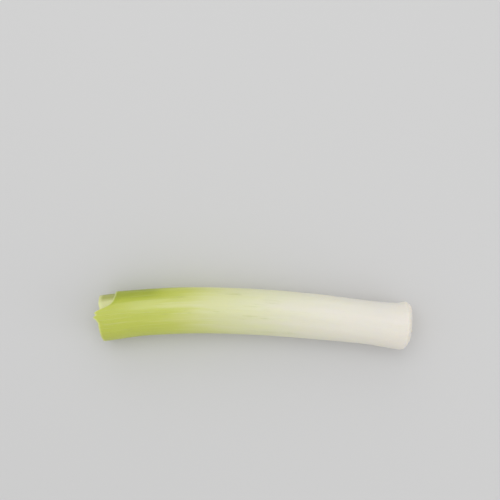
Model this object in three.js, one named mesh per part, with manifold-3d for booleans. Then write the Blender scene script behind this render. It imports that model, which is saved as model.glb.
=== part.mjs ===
// A trimmed leek lying on its side: seven tubular leaf bases, nested one inside the next around a
// folded heart, all standing on the basal plate. The leaf tops are cut off at the -X end and the
// roots are cut to stubs at the +X end. Millimetres, +Z up, resting on z = 0.
import * as THREE from "three";
import { mergeVertices } from "three/addons/utils/BufferGeometryUtils.js";
import Module from "manifold-3d";

const wasm = await Module();
wasm.setup();

// Driving dimensions. A station is a place along the leek, counted towards the root end, an angle runs
// from the top (+Z) towards +Y, and a depth is measured inwards from the leek's outer surface. The
// middle station and the middle line's Y put the overall box's middle over the origin. The root end
// leans: it lies this much further back halfway round from +Y, and twice as much at -Y.
const ROOT_END = 197;
const ROOT_LEAN = 0.6;
const MIDDLE_STATION = 98.9;
const LEAVES = 7;
const LEAF_THICKNESS = { leafEnd: 1.25, shaft: 1.32 };
const LEAF_GAP = 0.3;
const FAN_LENGTH = 45;
const KEEL_SHARE = 0.22;

// Where the leaves round over onto the plate: how far from the root end this starts at the sides and
// at the top, how far the section draws in, and how much earlier each deeper layer does.
const SHOULDER = { sideReach: 5.2, topReach: 3.4, inset: 4.6, power: 2, lead: 0.5 };

// Half width and half height of the shaft, and its bowed middle line, as [station, value] points.
const HALF_WIDTH = [[0, 15.2], [14, 15.15], [28, 14.7], [48, 14.7], [100, 14.5], [138, 14.3], [166, 13.85],
  [184, 14.4], [193, 15.0]];
const HALF_HEIGHT = [[0, 12.8], [24, 13.2], [60, 13.9], [100, 14.2], [166, 13.8], [184, 14.4], [193, 14.8]];
const MIDDLE_Y = [[0, -0.1], [14, 1.6], [35, 3.8], [66, 5.05], [103, 4.0], [140, 1.1], [165, -1.7],
  [184, -4.3], [190, -4.65], [196.6, -3]];
const MIDDLE_Z = [[0, 12.4], [24, 12.85], [60, 13.65], [100, 14.3], [166, 14.6], [184, 14.1],
  [193, 14.45]];

// The cut tops, as [angle in degrees, station] points. The outer leaf is open on its +Y side, where
// its margin runs back from a nicked tip, and the next leaf shows there.
const OUTER_RIM = [[-90, 6.5], [-73, 6.2], [-59, 5.7], [-45, 5.3], [-26, 4.5], [-10, 4.1], [-1, 2.3],
  [4, 0.9], [9.5, 2.6], [14, 1.5], [17.5, 2.6], [21, 4.8], [25.5, 7.8], [31.5, 10.4], [40, 12.3],
  [52, 13.1], [70, 13.7], [112, 14], [135, 12], [158, 8.9], [180, 7.4], [225, 6.8]];
const SECOND_RIM = [[-90, 8.4], [-45, 7.2], [0, 5.8], [28, 4.6], [42, 3.8], [50, 3.7], [58, 3.9], [80, 3.8],
  [92, 4.4], [135, 5.6], [180, 6.4], [225, 7.4]];
const INNER_RIMS = { first: 6.6, step: -0.3, wave: 0.5, turn: 2.4 };

// The basal plate, as [distance from the cut root end, radius] points, its shift towards +Y from the
// middle line, and its root stubs.
const PLATE = [[1.2, 7.4], [1.5, 8.1], [2.2, 8.4], [3.0, 8.0], [8.4, 0.8]];
const PLATE_SHIFT = 0.3;
const PLATE_CLEARANCE = 0.35;
const OUTER_BASE = 0.3;
const BASE_STEP = 0.05;
const STUBS = { rings: [[0.8, 1], [2.7, 6], [4.6, 9], [6.5, 13]], thinnest: 0.55, thickest: 0.85,
  lowest: 0.35, highest: 1.0, sunk: 1.4, stray: 0.3, sides: 6, seed: 2801 };

// The slow waves that go round the leek and turn along it, since it isn't quite round: how strong
// each is, how often it goes round, where it starts and its turn for each millimetre.
const WAVES = [
  { size: 0.011, count: 2, start: -1.1, turn: 0.012 },
  { size: 0.007, count: 3, start: 0.7, turn: -0.017 },
];

// Mesh density: rings in the leaf end, the shaft and the root end.
const LEAF_ZONE = 24;
const ROOT_ZONE = 187;
const SHOWN_STEPS = [7, 13, 8];
const HIDDEN_STEPS = [3, 5, 5];
const SIDES = [48, 36, 32, 28, 24, 20, 18];
const HEART_SIDES = 16;
const PLATE_SIDES = 30;

// A smooth curve through [place, value] points, level beyond its ends.
function through(points, place) {
  const last = points.length - 1;
  if (place <= points[0][0]) return points[0][1];
  if (place >= points[last][0]) return points[last][1];
  const i = points.findIndex(([p]) => p > place) - 1;
  const slope = (a, b) => (points[b][1] - points[a][1]) / (points[b][0] - points[a][0]);
  const start = slope(Math.max(i - 1, 0), i + 1);
  const end = slope(i, Math.min(i + 2, last));
  const span = points[i + 1][0] - points[i][0];
  const t = (place - points[i][0]) / span;
  const rise = t * t * (3 - 2 * t);
  return points[i][1] * (1 - rise) + points[i + 1][1] * rise
    + span * t * (1 - t) * (start * (1 - t) - end * t);
}

// Straight lines through [angle, value] points that go once round.
function around(points, angle) {
  const degrees = THREE.MathUtils.radToDeg(angle);
  const first = points[0][0];
  const place = first + THREE.MathUtils.euclideanModulo(degrees - first, 360);
  const closed = [...points, [first + 360, points[0][1]]];
  const i = closed.findIndex(([p]) => p > place) - 1;
  const t = (place - closed[i][0]) / (closed[i + 1][0] - closed[i][0]);
  return THREE.MathUtils.lerp(closed[i][1], closed[i + 1][1], t);
}

// How much of the loose leaf end is left at a station: 1 at the tip, 0 along the shaft.
const fan = (station) => 1 - THREE.MathUtils.smoothstep(station, 0, FAN_LENGTH);

// How far back the leaning root end lies at an angle.
const lean = (angle) => ROOT_LEAN * (1 - Math.sin(angle));

// How far the section draws in where the leaves round over onto the plate.
function shoulder(angle, station, depth) {
  const reach = THREE.MathUtils.lerp(SHOULDER.topReach, SHOULDER.sideReach, Math.sin(angle) ** 2);
  const left = ROOT_END - lean(angle) - station - SHOULDER.lead * depth;
  return SHOULDER.inset * THREE.MathUtils.clamp(1 - left / reach, 0, 1) ** SHOULDER.power;
}

function swell(angle, station) {
  const phase = (wave) => wave.count * angle + wave.start + wave.turn * station;
  return WAVES.reduce((sum, wave) => sum + wave.size * Math.cos(phase(wave)), 1);
}

// The point at an angle, a station and a depth.
function point(angle, station, depth) {
  const inset = depth + shoulder(angle, station, depth);
  const round = swell(angle, station);
  return new THREE.Vector3(
    station - MIDDLE_STATION,
    through(MIDDLE_Y, station) + (through(HALF_WIDTH, station) - inset) * round * Math.sin(angle),
    through(MIDDLE_Z, station) + (through(HALF_HEIGHT, station) - inset) * round * Math.cos(angle),
  );
}

// A leaf is thick along its keel, and the keels lie alternately at -Y and at +Y.
function thickness(leaf, angle, station) {
  const keel = leaf % 2 ? -1 : 1;
  const mean = THREE.MathUtils.lerp(LEAF_THICKNESS.shaft, LEAF_THICKNESS.leafEnd, fan(station));
  return mean * (1 + KEEL_SHARE * keel * Math.sin(angle));
}

// The depth of a leaf's outer surface. Leaf 1 is the outermost.
function depthOf(leaf, angle, station) {
  let depth = 0;
  for (let outer = 1; outer < leaf; outer += 1) depth += thickness(outer, angle, station) + LEAF_GAP;
  return depth;
}

// The station of a leaf's cut top.
function rim(leaf, angle) {
  if (leaf === 1) return around(OUTER_RIM, angle);
  if (leaf === 2) return around(SECOND_RIM, angle);
  const inwards = leaf - 3;
  return INNER_RIMS.first + INNER_RIMS.step * inwards
    + INNER_RIMS.wave * Math.sin(2 * angle + INNER_RIMS.turn * inwards);
}

// The radius of the basal plate at a distance from the cut root end.
function plateRadius(distance) {
  const outside = distance < PLATE[0][0] || distance > PLATE.at(-1)[0];
  return outside ? 0 : through(PLATE, distance);
}

// The station of a leaf's foot: its wall, inside at this depth, comes down the shaft until it is
// near the plate.
function foot(depth, angle) {
  const reach = [0, PLATE_CLEARANCE / 2, PLATE_CLEARANCE];
  const clearance = PLATE_CLEARANCE + PLATE_SHIFT * Math.sin(angle);
  const isClear = (distance) => {
    const station = ROOT_END - distance;
    const half = Math.min(through(HALF_WIDTH, station), through(HALF_HEIGHT, station));
    const radius = (half - shoulder(angle, station, depth) - depth) * swell(angle, station);
    return reach.every((ahead) => radius > plateRadius(distance - ahead) + clearance);
  };
  let distance = PLATE.at(-1)[0] + PLATE_CLEARANCE;
  while (distance > OUTER_BASE + lean(angle) && isClear(distance)) distance -= BASE_STEP;
  return ROOT_END - distance;
}

// Rings of points over one surface, from its cut top to its foot.
function rings(sides, steps, depth, top, bottom) {
  const angles = Array.from({ length: sides }, (_, i) => (2 * Math.PI * (i + 0.5)) / sides);
  const ends = angles.map((angle) => [top(angle), bottom(angle)]);
  const made = [];
  const ring = (station) => made.push(angles.map((angle, i) => {
    const at = station(i);
    return point(angle, at, depth(angle, at));
  }));
  const { lerp } = THREE.MathUtils;
  for (let i = 0; i < steps[0]; i += 1) ring((side) => lerp(ends[side][0], LEAF_ZONE, i / steps[0]));
  for (let i = 0; i < steps[1]; i += 1) ring(() => lerp(LEAF_ZONE, ROOT_ZONE, i / steps[1]));
  for (let i = 0; i <= steps[2]; i += 1) ring((side) => lerp(ROOT_ZONE, ends[side][1], i / steps[2]));
  return made;
}

// A closed mesh over rings of points: a tube that joins its last ring to its first, or a rod with
// a fan of triangles over each end.
function loft(loops, isTube) {
  const sides = loops[0].length;
  const positions = loops.flat();
  const index = [];
  const corner = (loop, side) => (loop % loops.length) * sides + (side % sides);
  const bands = isTube ? loops.length : loops.length - 1;
  for (let loop = 0; loop < bands; loop += 1) {
    for (let side = 0; side < sides; side += 1) {
      const [a, b] = [corner(loop, side), corner(loop, side + 1)];
      const [c, d] = [corner(loop + 1, side), corner(loop + 1, side + 1)];
      index.push(a, c, b, b, c, d);
    }
  }
  if (!isTube) {
    for (const [loop, turned] of [[0, true], [loops.length - 1, false]]) {
      const middle = loops[loop].reduce((sum, p) => sum.add(p), new THREE.Vector3()).divideScalar(sides);
      positions.push(middle);
      for (let side = 0; side < sides; side += 1) {
        const edge = [corner(loop, side), corner(loop, side + 1)];
        index.push(positions.length - 1, ...(turned ? edge : edge.reverse()));
      }
    }
  }
  const geometry = new THREE.BufferGeometry().setFromPoints(positions);
  geometry.setIndex(index);
  return geometry;
}

// A three.js geometry as a solid that can be cut and joined, and a solid as a geometry.
function solid(geometry) {
  const bare = new THREE.BufferGeometry().setAttribute("position", geometry.getAttribute("position"));
  bare.setIndex(geometry.index);
  const welded = mergeVertices(bare, 1e-4);
  return new wasm.Manifold(new wasm.Mesh({
    numProp: 3,
    vertProperties: welded.attributes.position.array,
    triVerts: new Uint32Array(welded.index.array),
  }));
}

function geometryOf(manifold) {
  const { numProp, vertProperties, triVerts } = manifold.getMesh();
  const geometry = new THREE.BufferGeometry();
  geometry.setAttribute("position", new THREE.BufferAttribute(vertProperties, numProp));
  geometry.setIndex(new THREE.BufferAttribute(triVerts, 1));
  return geometry;
}

// One leaf base: a tube with the leaf's own thickness, cut at its top and standing on the plate.
function leafGeometry(leaf) {
  const outside = (angle, station) => depthOf(leaf, angle, station);
  const inside = (angle, station) => depthOf(leaf, angle, station) + thickness(leaf, angle, station);
  const top = (angle) => rim(leaf, angle);
  const bottom = (angle) => foot(inside(angle, ROOT_ZONE), angle);
  const sides = SIDES[leaf - 1];
  const outer = rings(sides, leaf === 1 ? SHOWN_STEPS : HIDDEN_STEPS, outside, top, bottom);
  const inner = rings(sides, HIDDEN_STEPS, inside, top, bottom);
  return loft([...outer, ...inner.reverse()], true);
}

// The outer leaf is pressed flat where it rests on z = 0.
function pressedFlat(geometry) {
  const above = new THREE.BoxGeometry(2 * ROOT_END, ROOT_END, ROOT_END).translate(0, 0, ROOT_END / 2);
  return geometryOf(solid(geometry).intersect(solid(above)));
}

// The youngest leaves, still folded into one flat rod.
function heartGeometry() {
  const outside = (angle, station) => depthOf(LEAVES + 1, angle, station);
  const top = (angle) => rim(LEAVES + 1, angle);
  const bottom = () => ROOT_END - PLATE.at(-1)[0] - PLATE_CLEARANCE;
  return loft(rings(HEART_SIDES, HIDDEN_STEPS, outside, top, bottom), false);
}

// The squat stem that every leaf stands on, with the stubs of the cut roots on its face.
function plateGeometry() {
  const angles = Array.from({ length: PLATE_SIDES }, (_, i) => (2 * Math.PI * i) / PLATE_SIDES);
  const loops = PLATE.toReversed().map(([distance, radius]) => {
    const station = ROOT_END - distance;
    return angles.map((angle) => onPlate(station, radius, angle));
  });
  const random = seeded(STUBS.seed);
  let joined = solid(loft(loops, false));
  for (const [radius, count] of STUBS.rings) {
    for (let i = 0; i < count; i += 1) {
      const turn = 2 * Math.PI * (i + 0.5 * random()) / count;
      joined = joined.add(solid(stubGeometry(radius, turn, random)));
    }
  }
  return geometryOf(joined);
}

// A point at a radius and angle round the middle of the plate.
function onPlate(station, radius, angle) {
  return new THREE.Vector3(
    station - MIDDLE_STATION,
    through(MIDDLE_Y, station) + PLATE_SHIFT + radius * Math.sin(angle),
    through(MIDDLE_Z, station) + radius * Math.cos(angle),
  );
}

// One cut root: a short peg along +X, sunk into the plate's face.
function stubGeometry(radius, turn, random) {
  const { lerp } = THREE.MathUtils;
  const thickness = lerp(STUBS.thinnest, STUBS.thickest, random());
  const height = STUBS.sunk + lerp(STUBS.lowest, STUBS.highest, random());
  const stray = STUBS.stray * (2 * random() - 1);
  const root = onPlate(ROOT_END - PLATE[0][0] - STUBS.sunk, radius + stray, turn);
  const peg = new THREE.CylinderGeometry(thickness, thickness, height, STUBS.sides);
  return peg.rotateZ(-Math.PI / 2).translate(root.x + height / 2, root.y, root.z);
}

// A small repeatable random source, from 0 to 1.
function seeded(start) {
  let state = start;
  return () => {
    state = (state * 16807) % 2147483647;
    return state / 2147483647;
  };
}

function mesh(name, geometry, color, roughness) {
  const made = new THREE.Mesh(geometry, new THREE.MeshStandardMaterial({ color, roughness, metalness: 0 }));
  made.name = name;
  return made;
}

const leek = new THREE.Group();
leek.add(mesh("outer_leaf", pressedFlat(leafGeometry(1)), 0xdde0bb, 0.42));
for (let leaf = 2; leaf <= LEAVES; leaf += 1) {
  leek.add(mesh(`inner_leaf_${leaf - 1}`, leafGeometry(leaf), 0xdfe0b4, 0.45));
}
leek.add(mesh("folded_heart", heartGeometry(), 0xe2dc8e, 0.45));
leek.add(mesh("basal_plate", plateGeometry(), 0xe0d3b4, 0.7));

export default leek;
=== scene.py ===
import bpy
import numpy as np
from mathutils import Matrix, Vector


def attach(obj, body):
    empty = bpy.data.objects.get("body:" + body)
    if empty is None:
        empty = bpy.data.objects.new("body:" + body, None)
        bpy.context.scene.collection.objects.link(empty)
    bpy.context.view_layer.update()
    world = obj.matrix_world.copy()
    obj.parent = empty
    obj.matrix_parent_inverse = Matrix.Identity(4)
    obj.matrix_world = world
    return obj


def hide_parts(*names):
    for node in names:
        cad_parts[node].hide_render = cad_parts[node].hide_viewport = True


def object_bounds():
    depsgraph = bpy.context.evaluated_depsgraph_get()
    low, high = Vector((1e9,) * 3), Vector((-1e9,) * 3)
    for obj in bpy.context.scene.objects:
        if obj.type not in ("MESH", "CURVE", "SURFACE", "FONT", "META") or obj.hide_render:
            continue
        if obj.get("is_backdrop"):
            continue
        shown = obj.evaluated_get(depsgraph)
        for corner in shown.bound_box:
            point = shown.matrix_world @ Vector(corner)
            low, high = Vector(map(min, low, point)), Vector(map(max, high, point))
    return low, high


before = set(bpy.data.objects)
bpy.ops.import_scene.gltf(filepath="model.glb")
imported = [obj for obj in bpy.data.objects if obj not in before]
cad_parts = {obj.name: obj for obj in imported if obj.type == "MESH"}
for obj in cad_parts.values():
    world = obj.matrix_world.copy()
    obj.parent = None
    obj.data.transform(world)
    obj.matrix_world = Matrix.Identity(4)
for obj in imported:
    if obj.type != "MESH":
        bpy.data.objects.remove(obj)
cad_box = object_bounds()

MM = 0.001
TURN = 2 * np.pi

# The leek's form, with the values of the CAD model, where a curve is a list of (station, value)
# points. The root end leans: it lies ROOT_LEAN further back at the top and the bottom than at +Y, and
# twice as much at -Y. The shoulder is where the leek draws in at the root end, by its inset over its
# reach, and a deeper layer starts to do so earlier, by the lead times its depth. A wave has its size,
# how often it goes round the leek, the angle where it starts and how far it turns for each millimetre
# along the leek, in radians. The size of these waves is a share of the half width and half height.
ROOT_END = 197
ROOT_LEAN = 0.6
MIDDLE_STATION = 98.9
LEAVES = 7
LEAF_THICKNESS = {"leaf_end": 1.25, "shaft": 1.32}
LEAF_GAP = 0.3
FAN_LENGTH = 45
KEEL_SHARE = 0.22
SHOULDER = {"side_reach": 5.2, "top_reach": 3.4, "inset": 4.6, "power": 2, "lead": 0.5}
HALF_WIDTH = [(0, 15.2), (14, 15.15), (28, 14.7), (48, 14.7), (100, 14.5), (138, 14.3), (166, 13.85),
              (184, 14.4), (193, 15.0)]
HALF_HEIGHT = [(0, 12.8), (24, 13.2), (60, 13.9), (100, 14.2), (166, 13.8), (184, 14.4), (193, 14.8)]
MIDDLE_Y = [(0, -0.1), (14, 1.6), (35, 3.8), (66, 5.05), (103, 4.0), (140, 1.1), (165, -1.7),
            (184, -4.3), (190, -4.65), (196.6, -3)]
MIDDLE_Z = [(0, 12.4), (24, 12.85), (60, 13.65), (100, 14.3), (166, 14.6), (184, 14.1), (193, 14.45)]
WAVES = [{"size": 0.011, "count": 2, "start": -1.1, "turn": 0.012},
         {"size": 0.007, "count": 3, "start": 0.7, "turn": -0.017}]

# The cut tops, as (angle in degrees, station) points. Those of the leaves further in go by a first
# station and a step from each leaf to the next, with a wave that turns from leaf to leaf.
OUTER_RIM = [(-90, 6.5), (-73, 6.2), (-59, 5.7), (-45, 5.3), (-26, 4.5), (-10, 4.1), (-1, 2.3),
             (4, 0.9), (9.5, 2.6), (14, 1.5), (17.5, 2.6), (21, 4.8), (25.5, 7.8), (31.5, 10.4),
             (40, 12.3), (52, 13.1), (70, 13.7), (112, 14), (135, 12), (158, 8.9), (180, 7.4),
             (225, 6.8)]
SECOND_RIM = [(-90, 8.4), (-45, 7.2), (0, 5.8), (28, 4.6), (42, 3.8), (50, 3.7), (58, 3.9), (80, 3.8),
              (92, 4.4), (135, 5.6), (180, 6.4), (225, 7.4)]
INNER_RIMS = {"first": 6.6, "step": -0.3, "wave": 0.5, "turn": 2.4}

# The basal plate, as (distance from the cut root end, radius) points, and its shift towards +Y from
# the middle line. A leaf stops PLATE_CLEARANCE from it, or else OUTER_BASE from the leaning root end,
# at a place that is found in steps of BASE_STEP. The plate's root stubs stand in rings, as (radius,
# number of stubs), and stray from them. Their thickness is a half width, and they are sunk into it.
PLATE = [(1.2, 7.4), (1.5, 8.1), (2.2, 8.4), (3.0, 8.0), (8.4, 0.8)]
PLATE_SHIFT = 0.3
PLATE_CLEARANCE = 0.35
OUTER_BASE = 0.3
BASE_STEP = 0.05
STUBS = {"rings": [(0.8, 1), (2.7, 6), (4.6, 9), (6.5, 13)], "thinnest": 0.55, "thickest": 0.85,
         "lowest": 0.35, "highest": 1.0, "sunk": 1.4, "stray": 0.3, "seed": 2801}

# Relief that is too fine for the CAD model. On the leaves all of it goes inwards, and an inner leaf
# has a smaller share of the dents. Near the cut the lining of each leaf closes a share of the gap to
# the next one, which fades out between two stations, and the outer leaf's foot swells towards the
# plate. The outer leaf thins towards its open margin, over a reach along the leek, and the thinning
# fades in and out round it over the near and the far angles, in degrees. The pleats' angles and half
# widths are in degrees too. The veins and the creases are evenly spaced, apart from some bends.
VEINS = {"count": 72, "leaf_end": 0.07, "shaft": 0.035, "bend": 0.03, "bends": 3, "turn": 0.02}
INNER_DENTS = 0.3
GAP_CLOSED = 0.7
LINING_END = (20, 60)
FOOT_SWELL = {"size": 0.3, "start": 5, "full": 1.5}
OPEN_MARGIN = {"size": 0.65, "reach": 5, "near": (22, 32), "far": (76, 62)}
DENTS = [{"size": 0.05, "count": 5, "start": 0.4, "turn": 0.031},
         {"size": 0.04, "count": 8, "start": 2.1, "turn": -0.047},
         {"size": 0.03, "count": 13, "start": 4.4, "turn": 0.083}]
CHIPS = [{"size": 0.05, "count": 11, "start": 0.9, "turn": 0},
         {"size": 0.03, "count": 29, "start": 3.7, "turn": 0},
         {"size": 0.015, "count": 53, "start": 1.8, "turn": 0}]
CREASES = {"count": 26, "size": 0.22, "reach": 9, "bends": 5}
PLEATS = [{"angle": -31, "half": 5, "size": 0.7}, {"angle": 38, "half": 4, "size": 0.35},
          {"angle": -72, "half": 6, "size": 0.4}, {"angle": 128, "half": 6, "size": 0.45},
          {"angle": 205, "half": 5, "size": 0.4}]
PLEAT_REACH = 6

# The rounded edge of a cut rim, with the places round it that have points, as shares of a turn.
RIM_ROUND = 0.14
RIM_TURNS = [1 / 12, 2 / 12, 3 / 12]

# The heart's cut top, as (distance in from its side, distance back from the cut) points.
HEART_FOLDS = [(0.0, 0.1), (0.06, 0.02), (0.12, 0.0), (0.56, 0.0), (0.62, 0.1), (0.66, 0.7), (0.72, 0.7),
               (0.76, 0.1), (0.82, 0.0), (1.16, 0.0), (1.22, 0.1), (1.26, 0.6), (1.32, 0.6), (1.36, 0.1),
               (1.42, 0.0), (1.62, 0.0), (1.68, 0.2), (1.72, 0.8)]

# The plate's bumps fade towards its middle, over BUMPS_CALM. A root stub's profile is a list of
# (share of its height, share of its half width, how dried it is) points, where the first one is sunk
# into the plate. Its sides bulge in waves that turn by this angle from each stub to the next. The
# random source that places the stubs is the CAD model's, with its factor and its limit.
PLATE_TIP = 0.05
PLATE_BUMPS = [{"size": 0.07, "count": 5, "start": 0.3, "turn": 0.99},
               {"size": 0.05, "count": 9, "start": 2.6, "turn": -1.71},
               {"size": 0.04, "count": 17, "start": 5.0, "turn": 2.79}]
BUMPS_CALM = 3
STUB_PROFILE = [(-1, 1.25, 0), (0.0, 1.2, 0), (0.25, 1.04, 0), (0.8, 0.98, 0.2), (0.96, 0.94, 0.9),
                (1.0, 0.84, 1.0), (0.96, 0.6, 0.8), (0.9, 0.34, 1.0), (0.98, 0.22, 0.7), (1.0, 0.1, 0.7)]
STUB_BULGES = [{"size": 0.06, "count": 3, "start": 0, "turn": 1},
               {"size": 0.04, "count": 5, "start": 0, "turn": 2}]
RANDOM_FACTOR = 16807
RANDOM_LIMIT = 2147483647

# Mesh density: the steps along a leaf before LEAF_ZONE, from there to ROOT_ZONE and after it, outside
# and on its lining, and the points round each piece.
LEAF_ZONE = 24
ROOT_ZONE = 187
OUTER_STEPS = [44, 96, 46]
INNER_STEPS = [24, 8, 16]
LINING_STEPS = [16, 5, 8]
OUTER_SIDES = 360
INNER_SIDES = 168
PLATE_SIDES = 100
PLATE_RINGS = 24
STUB_SIDES = 20

# Noise patches in the materials: how long and wide they are, and how many finer layers they have.
GRAIN = {
    "broad": {"length": 60, "width": 4.5, "detail": 3.0},
    "fine": {"length": 34, "width": 0.7, "detail": 2.0},
    "mottle": {"length": 16, "width": 5, "detail": 4.0},
    "fibres": {"length": 5, "width": 0.22, "detail": 2.0},
    "patches": {"length": 2.2, "width": 2.2, "detail": 5.0},
    "speckle": {"length": 0.45, "width": 0.45, "detail": 3.0},
}

# Where a look fades, a pair gives the value at which it is gone and the value at which it is full. A
# share says how much of it shows where it is full.

# The skin's colour goes by a station that noise and bands along the leek push by these lengths. A
# band's rise and fall are distances towards +Y, which WANDER bends. The pale band also lightens the
# skin, between its start and its end, which are stations.
BROAD_PUSH = 36.0
FINE_PUSH = 14.0
WANDER = 5.0
PALE_BAND = {"rise": (1.0, 5.0), "fall": (10.5, 7.0), "push": 6.0, "share": 0.2,
             "start": (10.0, 34.0), "end": (66.0, 34.0)}
EDGE_BANDS = [{"rise": (-4.0, -11.0), "push": -7.0}, {"rise": (5.0, 9.5), "push": -8.0}]

# Streaks where the noise is high. They fade out along the leek, by shares of its length.
PALE_STREAKS = {"noise": (0.06, 0.26), "share": 0.22}
DARK_STREAKS = {"noise": (0.12, 0.34), "share": 0.4}
STREAKED = (0.8, 0.4)

# The pale cut margins, partly dry skin and partly a painted glint, by the distance back from the cut.
OUTER_MARGIN = (1.5, 0.1)
INNER_MARGIN = (2.8, 0.5)
DRY_AND_GLINT_SHARE = 0.7

# The cut, by shares of a leaf's wall from its outer side to its inner side, where the heart's cut looks
# like the middle of a wall. The vein ends lie in a row at one depth, and noise moves them by shares of
# their spacing and of the wall, and hides some. A spot fades by its squared distance from its middle.
CUT_EDGE = (0.0, 0.16)
MID_WALL = 0.5
VEIN_ENDS = {"depth": 0.45, "stray_around": 1.6, "stray_depth": 0.7, "spot": (0.07, 0.012),
             "noise": (-0.16, 0.14), "share": 0.6}

# The plate's tan patches, its brown crevices and its dried root ends.
PLATE_PATCHES = (-0.12, 0.16)
CREVICES = {"noise": (0.04, 0.2), "share": 0.5}
DRIED_ENDS = {"end": (0.4, 1.0), "share": 0.62}

# Surfaces: their mean roughness and how much noise adds to it, the strength and height of the bump,
# how much light scatters inside, and how far in red, green and blue, as shares of a length. A leaf's
# bump takes in a share of its fine noise, and a thin moist coat lies over it.
LEAF_SURFACE = {"roughness": 0.42, "uneven": 0.25, "bump": 0.5, "height": 0.12,
                "scatter": 0.3, "reach": (1.0, 0.8, 0.4), "length": 2.5}
PLATE_SURFACE = {"roughness": 0.62, "uneven": 0.3, "bump": 0.7, "height": 0.25,
                 "scatter": 0.2, "reach": (1.0, 0.7, 0.4), "length": 1.5}
FINE_RELIEF = 0.6
LEAF_COAT = 0.12
LEAF_COAT_ROUGHNESS = 0.25
FLOOR_ROUGHNESS = 0.9


def tint(red, side_layer, blue):
    """A colour from its 0 to 255 values, as the shader wants it."""
    share = np.array([red, side_layer, blue]) / 255
    linear = np.where(share <= 0.04045, share / 12.92, ((share + 0.055) / 1.055) ** 2.4)
    return (*linear.tolist(), 1.0)


# Colours. A ramp's stops are (share of the leek's length, colour). A green lies over the skin where it
# rises towards +Y, and fades out along the leek over its stations.
OUTER_SKIN = [(0.0, tint(187, 195, 78)), (0.15, tint(189, 197, 83)), (0.24, tint(194, 201, 94)),
              (0.31, tint(205, 209, 131)), (0.37, tint(212, 214, 157)), (0.5, tint(219, 219, 182)),
              (0.62, tint(225, 222, 200)), (0.78, tint(230, 225, 211)), (1.0, tint(233, 226, 215))]
OUTER_FLESH = [(0.0, tint(214, 218, 156)), (0.5, tint(226, 224, 190)), (1.0, tint(226, 214, 182))]
INNER_SKIN = [(0.0, tint(207, 209, 148)), (0.3, tint(214, 216, 156)), (0.6, tint(226, 223, 190)),
              (1.0, tint(229, 221, 200))]
INNER_FLESH = [(0.0, tint(218, 221, 160)), (0.5, tint(228, 226, 190)), (1.0, tint(226, 214, 182))]
HEART_SKIN = [(0.0, tint(216, 212, 118)), (1.0, tint(228, 222, 176))]
HEART_FLESH = [(0.0, tint(224, 220, 132)), (1.0, tint(228, 222, 176))]
OUTER_GREENS = [{"colour": tint(170, 182, 40), "share": 0.8, "rise": (6.5, 10.5), "stations": (62.0, 30.0)},
                {"colour": tint(133, 146, 0), "share": 0.5, "rise": (9.8, 12.4), "stations": (46.0, 34.0)}]
# The inner leaves' green is darker, partly as painted shade.
INNER_GREEN_AND_SHADE = [{"colour": tint(140, 148, 20), "share": 0.7, "rise": (9.2, 12.8), "stations": (62.0, 30.0)}]
PALE_STREAK = tint(226, 229, 178)
DARK_STREAK = tint(168, 174, 96)
VEIN_END = tint(160, 172, 84)
PLATE_CREAM = tint(234, 224, 196)
PLATE_TAN = tint(222, 205, 168)
PLATE_BROWN = tint(186, 158, 114)
DRIED_ROOT = tint(190, 162, 116)
FLOOR_COLOUR = (0.62, 0.62, 0.62, 1.0)

# The studio, with each light's name, place, size and power in watts, and the photograph's frame: its
# size in pixels, the length of a pixel at the leek's middle height, and the pixel over the origin.
FLOOR_HALF = 3000
SKY_COLOUR = (1.0, 1.0, 1.0, 1.0)
SKY_STRENGTH = 0.76
LIGHTS = [("key", (-100, 260, 900), 700, 1.9), ("fill", (750, -250, 380), 600, 0.9),
          ("back", (-50, 800, 300), 700, 0.7)]
CAMERA_LENS = 85
CAMERA_SENSOR = 36
PHOTO_SIZE = 500
PHOTO_PIXEL = 0.62
ORIGIN_PIXEL = (252.94, 318.36)
MIDDLE_HEIGHT = 14


def through(points, where):
    """A smooth curve through (place, value) points, level beyond its ends."""
    at, value = np.array(points, float).T
    where = np.clip(where, at[0], at[-1])
    i = np.clip(np.searchsorted(at, where, side="right") - 1, 0, len(at) - 2)
    before = np.maximum(i - 1, 0)
    after = np.minimum(i + 2, len(at) - 1)
    start = (value[i + 1] - value[before]) / (at[i + 1] - at[before])
    end = (value[after] - value[i]) / (at[after] - at[i])
    span = at[i + 1] - at[i]
    t = (where - at[i]) / span
    rise = t * t * (3 - 2 * t)
    ease = span * t * (1 - t) * (start * (1 - t) - end * t)
    return value[i] * (1 - rise) + value[i + 1] * rise + ease


def around(points, angle):
    """Straight lines through (angle in degrees, value) points that go once round."""
    at, value = np.array(points, float).T
    return np.interp(np.degrees(angle), at, value, period=360)


def smooth(value, low, high):
    """0 below low, 1 above high and smooth between them."""
    t = np.clip((value - low) / (high - low), 0, 1)
    return t * t * (3 - 2 * t)


def fan(station):
    """How much of the loose leaf end is left: 1 at the tip, 0 along the shaft."""
    return 1 - smooth(station, 0, FAN_LENGTH)


def lean(angle):
    """How far back the leaning root end lies at an angle."""
    return ROOT_LEAN * (1 - np.sin(angle))


def shoulder(angle, station, depth):
    """How far the section draws in where the leaves round over onto the plate."""
    top, side = SHOULDER["top_reach"], SHOULDER["side_reach"]
    reach = top + (side - top) * np.sin(angle) ** 2
    left = ROOT_END - lean(angle) - station - SHOULDER["lead"] * depth
    return SHOULDER["inset"] * np.clip(1 - left / reach, 0, 1) ** SHOULDER["power"]


def ripple(waves, angle, station):
    """Waves that go round the leek and turn along it, added up."""
    return sum(w["size"] * np.cos(w["count"] * angle + w["start"] + w["turn"] * station) for w in waves)


def place(angle, station, depth):
    """The point at an angle, a station and a depth."""
    inset = depth + shoulder(angle, station, depth)
    swell = 1 + ripple(WAVES, angle, station)
    half_width = (through(HALF_WIDTH, station) - inset) * swell
    half_height = (through(HALF_HEIGHT, station) - inset) * swell
    return np.stack([
        station - MIDDLE_STATION,
        through(MIDDLE_Y, station) + half_width * np.sin(angle),
        through(MIDDLE_Z, station) + half_height * np.cos(angle),
    ], axis=-1)


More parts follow.
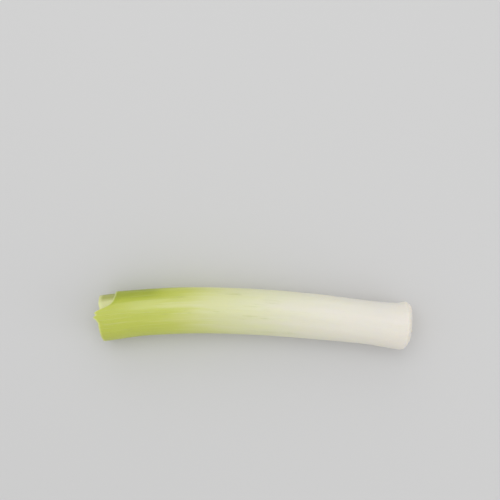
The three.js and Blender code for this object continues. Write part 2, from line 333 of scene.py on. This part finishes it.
def straightened(angle, station, depth):
    """The same point on a leek that is straight and round, for the grain of its materials."""
    radius = HALF_WIDTH[0][1] - depth
    return np.stack([station, radius * np.sin(angle), radius * np.cos(angle)], axis=-1)


def thickness(leaf, angle, station):
    """A leaf is thick along its keel, and the keels lie alternately at -Y and at +Y."""
    keel = -1 if leaf % 2 else 1
    mean = LEAF_THICKNESS["shaft"] + (LEAF_THICKNESS["leaf_end"] - LEAF_THICKNESS["shaft"]) * fan(station)
    return mean * (1 + KEEL_SHARE * keel * np.sin(angle))


def lining(leaf, station):
    """How much thicker than in the CAD model a leaf is, on its inside."""
    closing = GAP_CLOSED * LEAF_GAP * (1 - smooth(station, *LINING_END))
    if leaf > 1:
        return closing
    foot_start, foot_full = ROOT_END - FOOT_SWELL["start"], ROOT_END - FOOT_SWELL["full"]
    return closing + FOOT_SWELL["size"] * smooth(station, foot_start, foot_full)


def depth_of(leaf, angle, station):
    """The depth of a leaf's outer surface. Leaf 1 is the outermost."""
    return sum(thickness(outer, angle, station) + LEAF_GAP for outer in range(1, leaf)) + 0 * station


def rim(leaf, angle):
    """The station of a leaf's cut top, with the small chips that the knife leaves."""
    chips = ripple(CHIPS, angle + leaf, 0) + sum(chip["size"] for chip in CHIPS)
    if leaf == 1:
        return around(OUTER_RIM, angle) + chips
    if leaf == 2:
        return around(SECOND_RIM, angle) + chips
    inwards = leaf - 3
    wave = INNER_RIMS["wave"] * np.sin(2 * angle + INNER_RIMS["turn"] * inwards)
    return INNER_RIMS["first"] + INNER_RIMS["step"] * inwards + wave + chips


def plate_radius(distance):
    """The radius of the basal plate at a distance from the cut root end."""
    outside = (distance < PLATE[0][0]) | (distance > PLATE[-1][0])
    return np.where(outside, 0, through(PLATE, distance))


def foot(depth, angle):
    """The station of a leaf's foot, where its wall comes near the plate."""
    distance = np.arange(PLATE[-1][0] + PLATE_CLEARANCE, 0, -BASE_STEP)[:, None]
    station = ROOT_END - distance
    half = np.minimum(through(HALF_WIDTH, station), through(HALF_HEIGHT, station))
    radius = (half - shoulder(angle, station, depth) - depth) * (1 + ripple(WAVES, angle, station))
    reach = [0, PLATE_CLEARANCE / 2, PLATE_CLEARANCE]
    clearance = PLATE_CLEARANCE + PLATE_SHIFT * np.sin(angle)
    needed = np.max([plate_radius(distance - ahead) for ahead in reach], axis=0) + clearance
    stopped = (radius <= needed) | (distance <= OUTER_BASE + lean(angle))
    return ROOT_END - distance[np.argmax(stopped, axis=0), 0]


def along(steps, top, bottom):
    """Stations from a leaf's top to its foot, one row for each ring, close together at both ends."""
    shares = [np.arange(count) / count for count in steps]
    shares[-1] = np.append(shares[-1], 1)
    ends = [(top, LEAF_ZONE), (LEAF_ZONE, ROOT_ZONE), (ROOT_ZONE, bottom)]
    zones = [low + (high - low) * share[:, None] + 0 * top
             for share, (low, high) in zip(shares, ends)]
    return np.concatenate(zones)


def veins(angle, station):
    """The fine lengthwise grooves between a leaf's veins."""
    bent = angle + VEINS["bend"] * np.sin(VEINS["bends"] * angle + VEINS["turn"] * station)
    size = VEINS["shaft"] + (VEINS["leaf_end"] - VEINS["shaft"]) * fan(station)
    return size * (0.5 + 0.5 * np.cos(VEINS["count"] * bent))


def creases(angle, station):
    """The short folds and the pleats where the leaves draw in onto the plate."""
    near = smooth(station, ROOT_END - CREASES["reach"], ROOT_END)
    bent = CREASES["count"] * angle + np.sin(CREASES["bends"] * angle)
    total = CREASES["size"] * near * (0.5 + 0.5 * np.cos(bent))
    for pleat in PLEATS:
        off = (angle - np.radians(pleat["angle"]) + np.pi) % TURN - np.pi
        beside = smooth(np.abs(off), 0, np.radians(pleat["half"]))
        total = total + pleat["size"] * (1 - beside) * smooth(station, ROOT_END - PLEAT_REACH, ROOT_END)
    return total


def relief(leaf, angle, station):
    """How far the fine relief lowers a leaf's surface."""
    dents = ripple(DENTS, angle, station) + sum(dent["size"] for dent in DENTS)
    share = 1 if leaf == 1 else INNER_DENTS
    return share * dents + veins(angle, station) + creases(angle, station)


def margin(angle, back):
    """How much the outer leaf thins at a distance back from its open margin."""
    sides = [smooth(np.degrees(angle), *OPEN_MARGIN[side]) for side in ("near", "far")]
    return OPEN_MARGIN["size"] * sides[0] * sides[1] * (1 - smooth(back, 0, OPEN_MARGIN["reach"]))


def mesh_object(name, points, faces, fields, material):
    """A smooth mesh object, with its fields stored as attributes for its material."""
    mesh = bpy.data.meshes.new(name)
    mesh.from_pydata((points * MM).tolist(), [], faces)
    for label, values in fields.items():
        kind, key = ("FLOAT_VECTOR", "vector") if values.ndim == 2 else ("FLOAT", "value")
        attribute = mesh.attributes.new(label, kind, "POINT")
        attribute.data.foreach_set(key, values.astype(np.float32).ravel())
    mesh.materials.append(material)
    mesh.shade_smooth()
    made = bpy.data.objects.new(name, mesh)
    bpy.context.scene.collection.objects.link(made)
    return made


def bands(loops, sides, is_tube):
    """Quads between neighbouring loops of points, and from the last loop to the first in a tube."""
    loop, side = np.meshgrid(np.arange(loops if is_tube else loops - 1), np.arange(sides), indexing="ij")
    ahead = (loop + 1) % loops
    beside = (side + 1) % sides
    corners = [loop * sides + side, ahead * sides + side, ahead * sides + beside, loop * sides + beside]
    return np.stack(corners, axis=-1).reshape(-1, 4).tolist()


def rod(loops, sides):
    """The bands between loops of points, with one face over the first loop and one over the last."""
    last = (loops - 1) * sides
    ends = [list(range(sides)), list(range(last + sides - 1, last - 1, -1))]
    return bands(loops, sides, False) + ends


def leaf_object(leaf, name, sides, steps, material):
    """One leaf base: a tube with its cut top, its own thickness and its foot near the plate."""
    angle = np.arange(sides) * TURN / sides
    wall = thickness(leaf, angle, ROOT_ZONE)
    bottom = foot(depth_of(leaf, angle, ROOT_ZONE) + wall, angle)
    top = rim(leaf, angle)
    turns = TURN * np.array(RIM_TURNS)
    corner = list(zip(RIM_ROUND * (1 - np.sin(turns)), RIM_ROUND * (1 - np.cos(turns))))

    # Each ring is a row of stations, with the surface that it lies on (0 outside, 1 inside), how far
    # it is sunk into the leaf from there, and whether it is on the cut top.
    rings = [(ring, 0, 0, 0) for ring in along(steps, top + RIM_ROUND, bottom)]
    rings += [(ring, 1, 0, 0) for ring in along(LINING_STEPS, top + RIM_ROUND, bottom)[::-1]]
    rings += [(top + back, 1, sunk, 1) for back, sunk in corner]
    rings += [(top + back, 0, sunk, 1) for back, sunk in reversed(corner)]

    points, straight, cut, share, back = [], [], [], [], []
    for station, surface, sunk, is_cut in rings:
        wall = thickness(leaf, angle, station) + lining(leaf, station)
        part = (1 - sunk / wall) if surface else sunk / wall
        depth = depth_of(leaf, angle, station) + part * wall
        lowered = relief(leaf, angle, station)
        if leaf == 1:
            lowered = lowered + margin(angle, station - top)
        points.append(place(angle, station, depth + (1 - part) * lowered))
        straight.append(straightened(angle, station, depth))
        cut.append(np.full(sides, float(is_cut)))
        share.append(part + 0 * angle)
        back.append(station - top)
    points = np.concatenate(points)

    # The outer leaf is pressed flat where it rests.
    if leaf == 1:
        points[:, 2] = np.maximum(points[:, 2], 0)
    fields = {
        "straight": np.concatenate(straight),
        "cut": np.concatenate(cut),
        "share": np.concatenate(share),
        "back": np.concatenate(back),
    }
    return mesh_object(name, points, bands(len(rings), sides, True), fields, material)


def heart_object(material):
    """The folded heart: one rod, whose cut top shows the folded leaves as grooves round a slit."""
    angle = np.arange(INNER_SIDES) * TURN / INNER_SIDES
    top = rim(LEAVES + 1, angle)
    bottom = ROOT_END - PLATE[-1][0] - PLATE_CLEARANCE + 0 * angle
    rings = [(top + back, sunk, 1) for sunk, back in reversed(HEART_FOLDS)]
    rings += [(ring, 0, 0) for ring in along(LINING_STEPS, top + RIM_ROUND, bottom)]
    points, straight, cut, back = [], [], [], []
    for station, sunk, is_cut in rings:
        depth = depth_of(LEAVES + 1, angle, station) + sunk
        points.append(place(angle, station, depth))
        straight.append(straightened(angle, station, depth))
        cut.append(np.full(INNER_SIDES, float(is_cut)))
        back.append(station - top)
    fields = {
        "straight": np.concatenate(straight),
        "cut": np.concatenate(cut),
        "share": np.concatenate(cut) * MID_WALL,
        "back": np.concatenate(back),
    }
    points = np.concatenate(points)
    return mesh_object("folded_heart_detail", points, rod(len(rings), INNER_SIDES), fields, material)


def on_plate(station, radius, angle):
    """A point at a radius and an angle round the middle of the plate."""
    return np.stack([
        station - MIDDLE_STATION + 0 * angle,
        through(MIDDLE_Y, station) + PLATE_SHIFT + radius * np.sin(angle),
        through(MIDDLE_Z, station) + radius * np.cos(angle),
    ], axis=-1)


def seeded(state):
    """The random source of the CAD model, from 0 to 1, so that the root stubs stand where its do."""
    while True:
        state = state * RANDOM_FACTOR % RANDOM_LIMIT
        yield state / RANDOM_LIMIT


def stub_places():
    """The angle, radius, thickness and height of each root stub."""
    random = seeded(STUBS["seed"])
    for ring_radius, count in STUBS["rings"]:
        for i in range(count):
            angle = TURN * (i + 0.5 * next(random)) / count
            half = STUBS["thinnest"] + (STUBS["thickest"] - STUBS["thinnest"]) * next(random)
            height = STUBS["lowest"] + (STUBS["highest"] - STUBS["lowest"]) * next(random)
            yield angle, ring_radius + STUBS["stray"] * (2 * next(random) - 1), half, height


def disc_object(name, material):
    """The plate without its roots: a rough disc that tapers inwards."""
    angle = np.arange(PLATE_SIDES) * TURN / PLATE_SIDES
    inwards = np.arange(PLATE_RINGS, 0, -1) / (PLATE_RINGS + 1)
    profile = [(PLATE[-1][0], PLATE_TIP)] + PLATE[::-1]
    profile += [(PLATE[0][0], PLATE[0][1] * share) for share in inwards]
    points = []
    for distance, radius in profile:
        station = ROOT_END - distance
        if distance <= PLATE[0][0]:
            station = station + ripple(PLATE_BUMPS, angle, radius) * smooth(radius, 0, BUMPS_CALM)
        points.append(on_plate(station, radius, angle))
    fields = {"stub_end": np.zeros(len(profile) * PLATE_SIDES)}
    return mesh_object(name, np.concatenate(points), rod(len(profile), PLATE_SIDES), fields, material)


def stub_object(number, angle, radius, half, height, material):
    """A cut root, with ragged sides and a hollow end."""
    turn = np.arange(STUB_SIDES) * TURN / STUB_SIDES
    root = on_plate(ROOT_END - PLATE[0][0], radius, np.array(angle))
    ragged = half * (1 + ripple(STUB_BULGES, turn, number))
    points, ends = [], []
    for share, width, end in STUB_PROFILE:
        up = -STUBS["sunk"] if share < 0 else height * share
        across = width * ragged
        ring = np.stack([up + 0 * turn, across * np.sin(turn), across * np.cos(turn)], axis=-1)
        points.append(root + ring)
        ends.append(np.full(STUB_SIDES, end))
    fields = {"stub_end": np.concatenate(ends)}
    faces = rod(len(STUB_PROFILE), STUB_SIDES)
    return mesh_object(f"root_stub_{number}", np.concatenate(points), faces, fields, material)


def plate_object(material):
    """The basal plate: the disc and its roots, united into one closed surface."""
    plate = disc_object("basal_plate_detail", material)
    stubs = [stub_object(number, *where, material) for number, where in enumerate(stub_places())]
    for stub in stubs:
        union = plate.modifiers.new(stub.name, "BOOLEAN")
        union.operation = "UNION"
        union.solver = "MANIFOLD"
        union.object = stub
    united = bpy.data.meshes.new_from_object(plate.evaluated_get(bpy.context.evaluated_depsgraph_get()))
    plate.modifiers.clear()
    plate.data = united
    for stub in stubs:
        bpy.data.objects.remove(stub)
    return plate


def add(tree, kind, inputs, **settings):
    """A node with its settings, and its inputs set to values or linked to sockets."""
    node = tree.nodes.new(kind)
    for key, value in settings.items():
        setattr(node, key, value)
    for key, value in inputs.items():
        if isinstance(value, bpy.types.NodeSocket):
            tree.links.new(value, node.inputs[key])
        else:
            node.inputs[key].default_value = value
    return node


def field(tree, name, output):
    """One of the fields stored in the mesh."""
    return add(tree, "ShaderNodeAttribute", {}, attribute_name=name).outputs[output]


def calc(tree, operation, first, *others):
    """Values joined one after another by a sum, a product or another operation."""
    for other in others:
        first = add(tree, "ShaderNodeMath", {0: first, 1: other}, operation=operation).outputs[0]
    return first


def fade(tree, value, low, high):
    """0 at low, 1 at high and smooth between them."""
    limits = {"Value": value, "From Min": low, "From Max": high}
    return add(tree, "ShaderNodeMapRange", limits, interpolation_type="SMOOTHSTEP").outputs["Result"]


def grain(tree, straight, length, width, detail):
    """Noise about a middle value of 0, in patches of this length along the leek and this width."""
    scale = (1 / length, 1 / width, 1 / width)
    stretched = add(tree, "ShaderNodeVectorMath", {0: straight, 1: scale}, operation="MULTIPLY").outputs[0]
    noise = add(tree, "ShaderNodeTexNoise", {"Vector": stretched, "Scale": 1.0, "Detail": detail})
    return calc(tree, "SUBTRACT", noise.outputs["Fac"], 0.5)


def blend(tree, share, first, second):
    """The first colour at share 0, the second at share 1. Sockets 6, 7 and 2 are those for colours."""
    return add(tree, "ShaderNodeMix", {0: share, 6: first, 7: second}, data_type="RGBA").outputs[2]


def ramp(tree, value, stops):
    """A colour that goes through (place, colour) stops."""
    node = add(tree, "ShaderNodeValToRGB", {"Fac": value})
    elements = node.color_ramp.elements
    while len(elements) < len(stops):
        elements.new(1.0)
    for element, (at, colour) in zip(elements, stops):
        element.position = at
        element.color = colour
    return node.outputs["Color"]


def new_material(name):
    """A material, with its node tree."""
    material = bpy.data.materials.new(name)
    material.use_nodes = True
    return material, material.node_tree


def link_surface(tree, surface, colour, uneven, relief_noise):
    """Gives a material's shader its colour and a surface, with noise in its roughness and its bump."""
    shader = tree.nodes["Principled BSDF"]
    rough = calc(tree, "ADD", calc(tree, "MULTIPLY", uneven, surface["uneven"]), surface["roughness"])
    inputs = {"Height": relief_noise, "Strength": surface["bump"], "Distance": surface["height"] * MM}
    bump = add(tree, "ShaderNodeBump", inputs)
    tree.links.new(colour, shader.inputs["Base Color"])
    tree.links.new(rough, shader.inputs["Roughness"])
    tree.links.new(bump.outputs["Normal"], shader.inputs["Normal"])
    shader.inputs["Subsurface Weight"].default_value = surface["scatter"]
    shader.inputs["Subsurface Radius"].default_value = surface["reach"]
    shader.inputs["Subsurface Scale"].default_value = surface["length"] * MM
    return shader


def leaf_material(name, skin_stops, flesh_stops, side_greens_and_shade, dry_and_glint_margin):
    """Leaf tissue: a satin skin that pales towards the root end in streaks, and moist cut flesh."""
    material, tree = new_material(name)
    straight = field(tree, "straight", "Vector")
    station, sideways, upward = add(tree, "ShaderNodeSeparateXYZ", {0: straight}).outputs
    broad = grain(tree, straight, **GRAIN["broad"])
    fine = grain(tree, straight, **GRAIN["fine"])
    mottle = grain(tree, straight, **GRAIN["mottle"])
    fibres = grain(tree, straight, **GRAIN["fibres"])

    # The colour goes by a station that noise and bands along the leek push back and forth.
    side = calc(tree, "ADD", sideways, calc(tree, "MULTIPLY", broad, WANDER))
    across = calc(tree, "MULTIPLY", *(fade(tree, side, *PALE_BAND[edge]) for edge in ("rise", "fall")))
    pushes = [(across, PALE_BAND["push"]), (broad, BROAD_PUSH), (fine, FINE_PUSH)]
    pushes += [(fade(tree, side, *band["rise"]), band["push"]) for band in EDGE_BANDS]
    moved = calc(tree, "ADD", station, *(calc(tree, "MULTIPLY", *push) for push in pushes))
    share = calc(tree, "DIVIDE", moved, ROOT_END)
    skin = ramp(tree, share, skin_stops)
    ends = [fade(tree, station, *PALE_BAND[end]) for end in ("start", "end")]
    skin = blend(tree, calc(tree, "MULTIPLY", across, *ends, PALE_BAND["share"]), skin, PALE_STREAK)
    # The greens rise towards +Y; the inner leaves' one is partly painted shade.
    for side_layer in side_greens_and_shade:
        places = [fade(tree, side, *side_layer["rise"]), fade(tree, station, *side_layer["stations"])]
        skin = blend(tree, calc(tree, "MULTIPLY", *places, side_layer["share"]), skin, side_layer["colour"])
    streaked = fade(tree, share, *STREAKED)
    mixed = calc(tree, "ADD", mottle, fine)
    for noise, streaks, colour in ((fine, PALE_STREAKS, PALE_STREAK), (mixed, DARK_STREAKS, DARK_STREAK)):
        seen = calc(tree, "MULTIPLY", fade(tree, noise, *streaks["noise"]), streaked, streaks["share"])
        skin = blend(tree, seen, skin, colour)

    # The cut shows the flesh with a row of vein ends.
    flesh = ramp(tree, share, flesh_stops)
    # The skin pales along the cut: partly a dried margin, partly a painted glint on the rim.
    dry_and_glint = calc(tree, "MULTIPLY", fade(tree, field(tree, "back", "Fac"), *dry_and_glint_margin), DRY_AND_GLINT_SHARE)
    skin = blend(tree, dry_and_glint, skin, flesh)
    vein = calc(tree, "MULTIPLY", calc(tree, "ARCTAN2", sideways, upward), VEINS["count"] / TURN)
    vein = calc(tree, "ADD", vein, calc(tree, "MULTIPLY", broad, VEIN_ENDS["stray_around"]))
    beside = calc(tree, "PINGPONG", vein, 0.5)
    wall_share = field(tree, "share", "Fac")
    row = calc(tree, "ADD", calc(tree, "MULTIPLY", fine, VEIN_ENDS["stray_depth"]), VEIN_ENDS["depth"])
    from_row = calc(tree, "SUBTRACT", wall_share, row)
    away = calc(tree, "ADD", *(calc(tree, "MULTIPLY", offset, offset) for offset in (beside, from_row)))
    fades = [fade(tree, away, *VEIN_ENDS["spot"]), fade(tree, mottle, *VEIN_ENDS["noise"])]
    flesh = blend(tree, calc(tree, "MULTIPLY", *fades, VEIN_ENDS["share"]), flesh, VEIN_END)
    from_edge = calc(tree, "MINIMUM", wall_share, calc(tree, "SUBTRACT", 1.0, wall_share))
    inside = calc(tree, "MULTIPLY", field(tree, "cut", "Fac"), fade(tree, from_edge, *CUT_EDGE))

    relief_noise = calc(tree, "ADD", calc(tree, "MULTIPLY", fine, FINE_RELIEF), fibres)
    shader = link_surface(tree, LEAF_SURFACE, blend(tree, inside, skin, flesh), mottle, relief_noise)
    shader.inputs["Coat Weight"].default_value = LEAF_COAT
    shader.inputs["Coat Roughness"].default_value = LEAF_COAT_ROUGHNESS
    return material


def plate_material():
    """Cut stem and roots: cream, with browner crevices and dried root ends."""
    material, tree = new_material("basal_plate_tissue")
    position = add(tree, "ShaderNodeTexCoord", {}).outputs["Object"]
    to_mm = {0: position, 1: (1 / MM, 1 / MM, 1 / MM)}
    place_mm = add(tree, "ShaderNodeVectorMath", to_mm, operation="MULTIPLY").outputs[0]
    patches = grain(tree, place_mm, **GRAIN["patches"])
    speckle = grain(tree, place_mm, **GRAIN["speckle"])
    colour = blend(tree, fade(tree, patches, *PLATE_PATCHES), PLATE_CREAM, PLATE_TAN)
    crevices = calc(tree, "MULTIPLY", fade(tree, speckle, *CREVICES["noise"]), CREVICES["share"])
    colour = blend(tree, crevices, colour, PLATE_BROWN)
    end = fade(tree, field(tree, "stub_end", "Fac"), *DRIED_ENDS["end"])
    dried = calc(tree, "MULTIPLY", end, calc(tree, "ADD", patches, DRIED_ENDS["share"]))
    colour = blend(tree, dried, colour, DRIED_ROOT)
    link_surface(tree, PLATE_SURFACE, colour, speckle, calc(tree, "ADD", patches, speckle))
    return material


def floor_object():
    """A wide pale floor just under the leek."""
    mesh = bpy.data.meshes.new("floor")
    corners = [(-FLOOR_HALF, -FLOOR_HALF), (FLOOR_HALF, -FLOOR_HALF), (FLOOR_HALF, FLOOR_HALF),
               (-FLOOR_HALF, FLOOR_HALF)]
    mesh.from_pydata([(x * MM, y * MM, 0) for x, y in corners], [], [(0, 1, 2, 3)])
    material, tree = new_material("floor_paint")
    shader = tree.nodes["Principled BSDF"]
    shader.inputs["Base Color"].default_value = FLOOR_COLOUR
    shader.inputs["Roughness"].default_value = FLOOR_ROUGHNESS
    mesh.materials.append(material)
    made = bpy.data.objects.new("floor", mesh)
    bpy.context.scene.collection.objects.link(made)
    return made


def add_light(name, position, size, power):
    """Adds a square light that points at the origin."""
    data = bpy.data.lights.new(name, "AREA")
    data.shape = "SQUARE"
    data.size = size * MM
    data.energy = power
    made = bpy.data.objects.new(name, data)
    made.location = Vector(position) * MM
    made.rotation_mode = "QUATERNION"
    made.rotation_quaternion = (-Vector(position)).to_track_quat("-Z", "Y")
    bpy.context.scene.collection.objects.link(made)


def light_scene():
    """Sets up an even white sky and soft lights, and shows the colours as they are."""
    world = bpy.data.worlds.new("studio")
    world.use_nodes = True
    background = world.node_tree.nodes["Background"]
    background.inputs["Color"].default_value = SKY_COLOUR
    background.inputs["Strength"].default_value = SKY_STRENGTH
    bpy.context.scene.world = world
    bpy.context.scene.view_settings.view_transform = "Standard"
    for light in LIGHTS:
        add_light(*light)


def add_camera():
    """Adds the photograph's view: straight down, over the middle of the frame."""
    data = bpy.data.cameras.new("camera")
    data.lens = CAMERA_LENS
    data.sensor_width = CAMERA_SENSOR
    distance = PHOTO_SIZE * PHOTO_PIXEL * CAMERA_LENS / CAMERA_SENSOR
    made = bpy.data.objects.new("camera", data)
    made.location = Vector((
        (PHOTO_SIZE / 2 - ORIGIN_PIXEL[0]) * PHOTO_PIXEL,
        (ORIGIN_PIXEL[1] - PHOTO_SIZE / 2) * PHOTO_PIXEL,
        distance + MIDDLE_HEIGHT,
    )) * MM
    bpy.context.scene.collection.objects.link(made)
    bpy.context.scene.camera = made


outer_material = leaf_material("outer_leaf_tissue", OUTER_SKIN, OUTER_FLESH, OUTER_GREENS, OUTER_MARGIN)
inner_material = leaf_material("inner_leaf_tissue", INNER_SKIN, INNER_FLESH, INNER_GREEN_AND_SHADE, INNER_MARGIN)
heart_material = leaf_material("heart_leaf_tissue", HEART_SKIN, HEART_FLESH, [], INNER_MARGIN)

outer_leaf = leaf_object(1, "outer_leaf_detail", OUTER_SIDES, OUTER_STEPS, outer_material)
pieces = [(outer_leaf, "outer_leaf", "outer_leaf")]
for leaf in range(2, LEAVES + 1):
    node = f"inner_leaf_{leaf - 1}"
    made = leaf_object(leaf, f"{node}_detail", INNER_SIDES, INNER_STEPS, inner_material)
    pieces.append((made, node, "inner_leaf"))
pieces.append((heart_object(heart_material), "folded_heart", "heart_leaf"))
pieces.append((plate_object(plate_material()), "basal_plate", "basal_plate"))
for piece, node, slot in pieces:
    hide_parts(node)
    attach(piece, "root")

floor_object()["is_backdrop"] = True
light_scene()
add_camera()

boxes = {"cad": cad_box, "visual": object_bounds()}
{name: [list(corner) for corner in box] for name, box in boxes.items()}
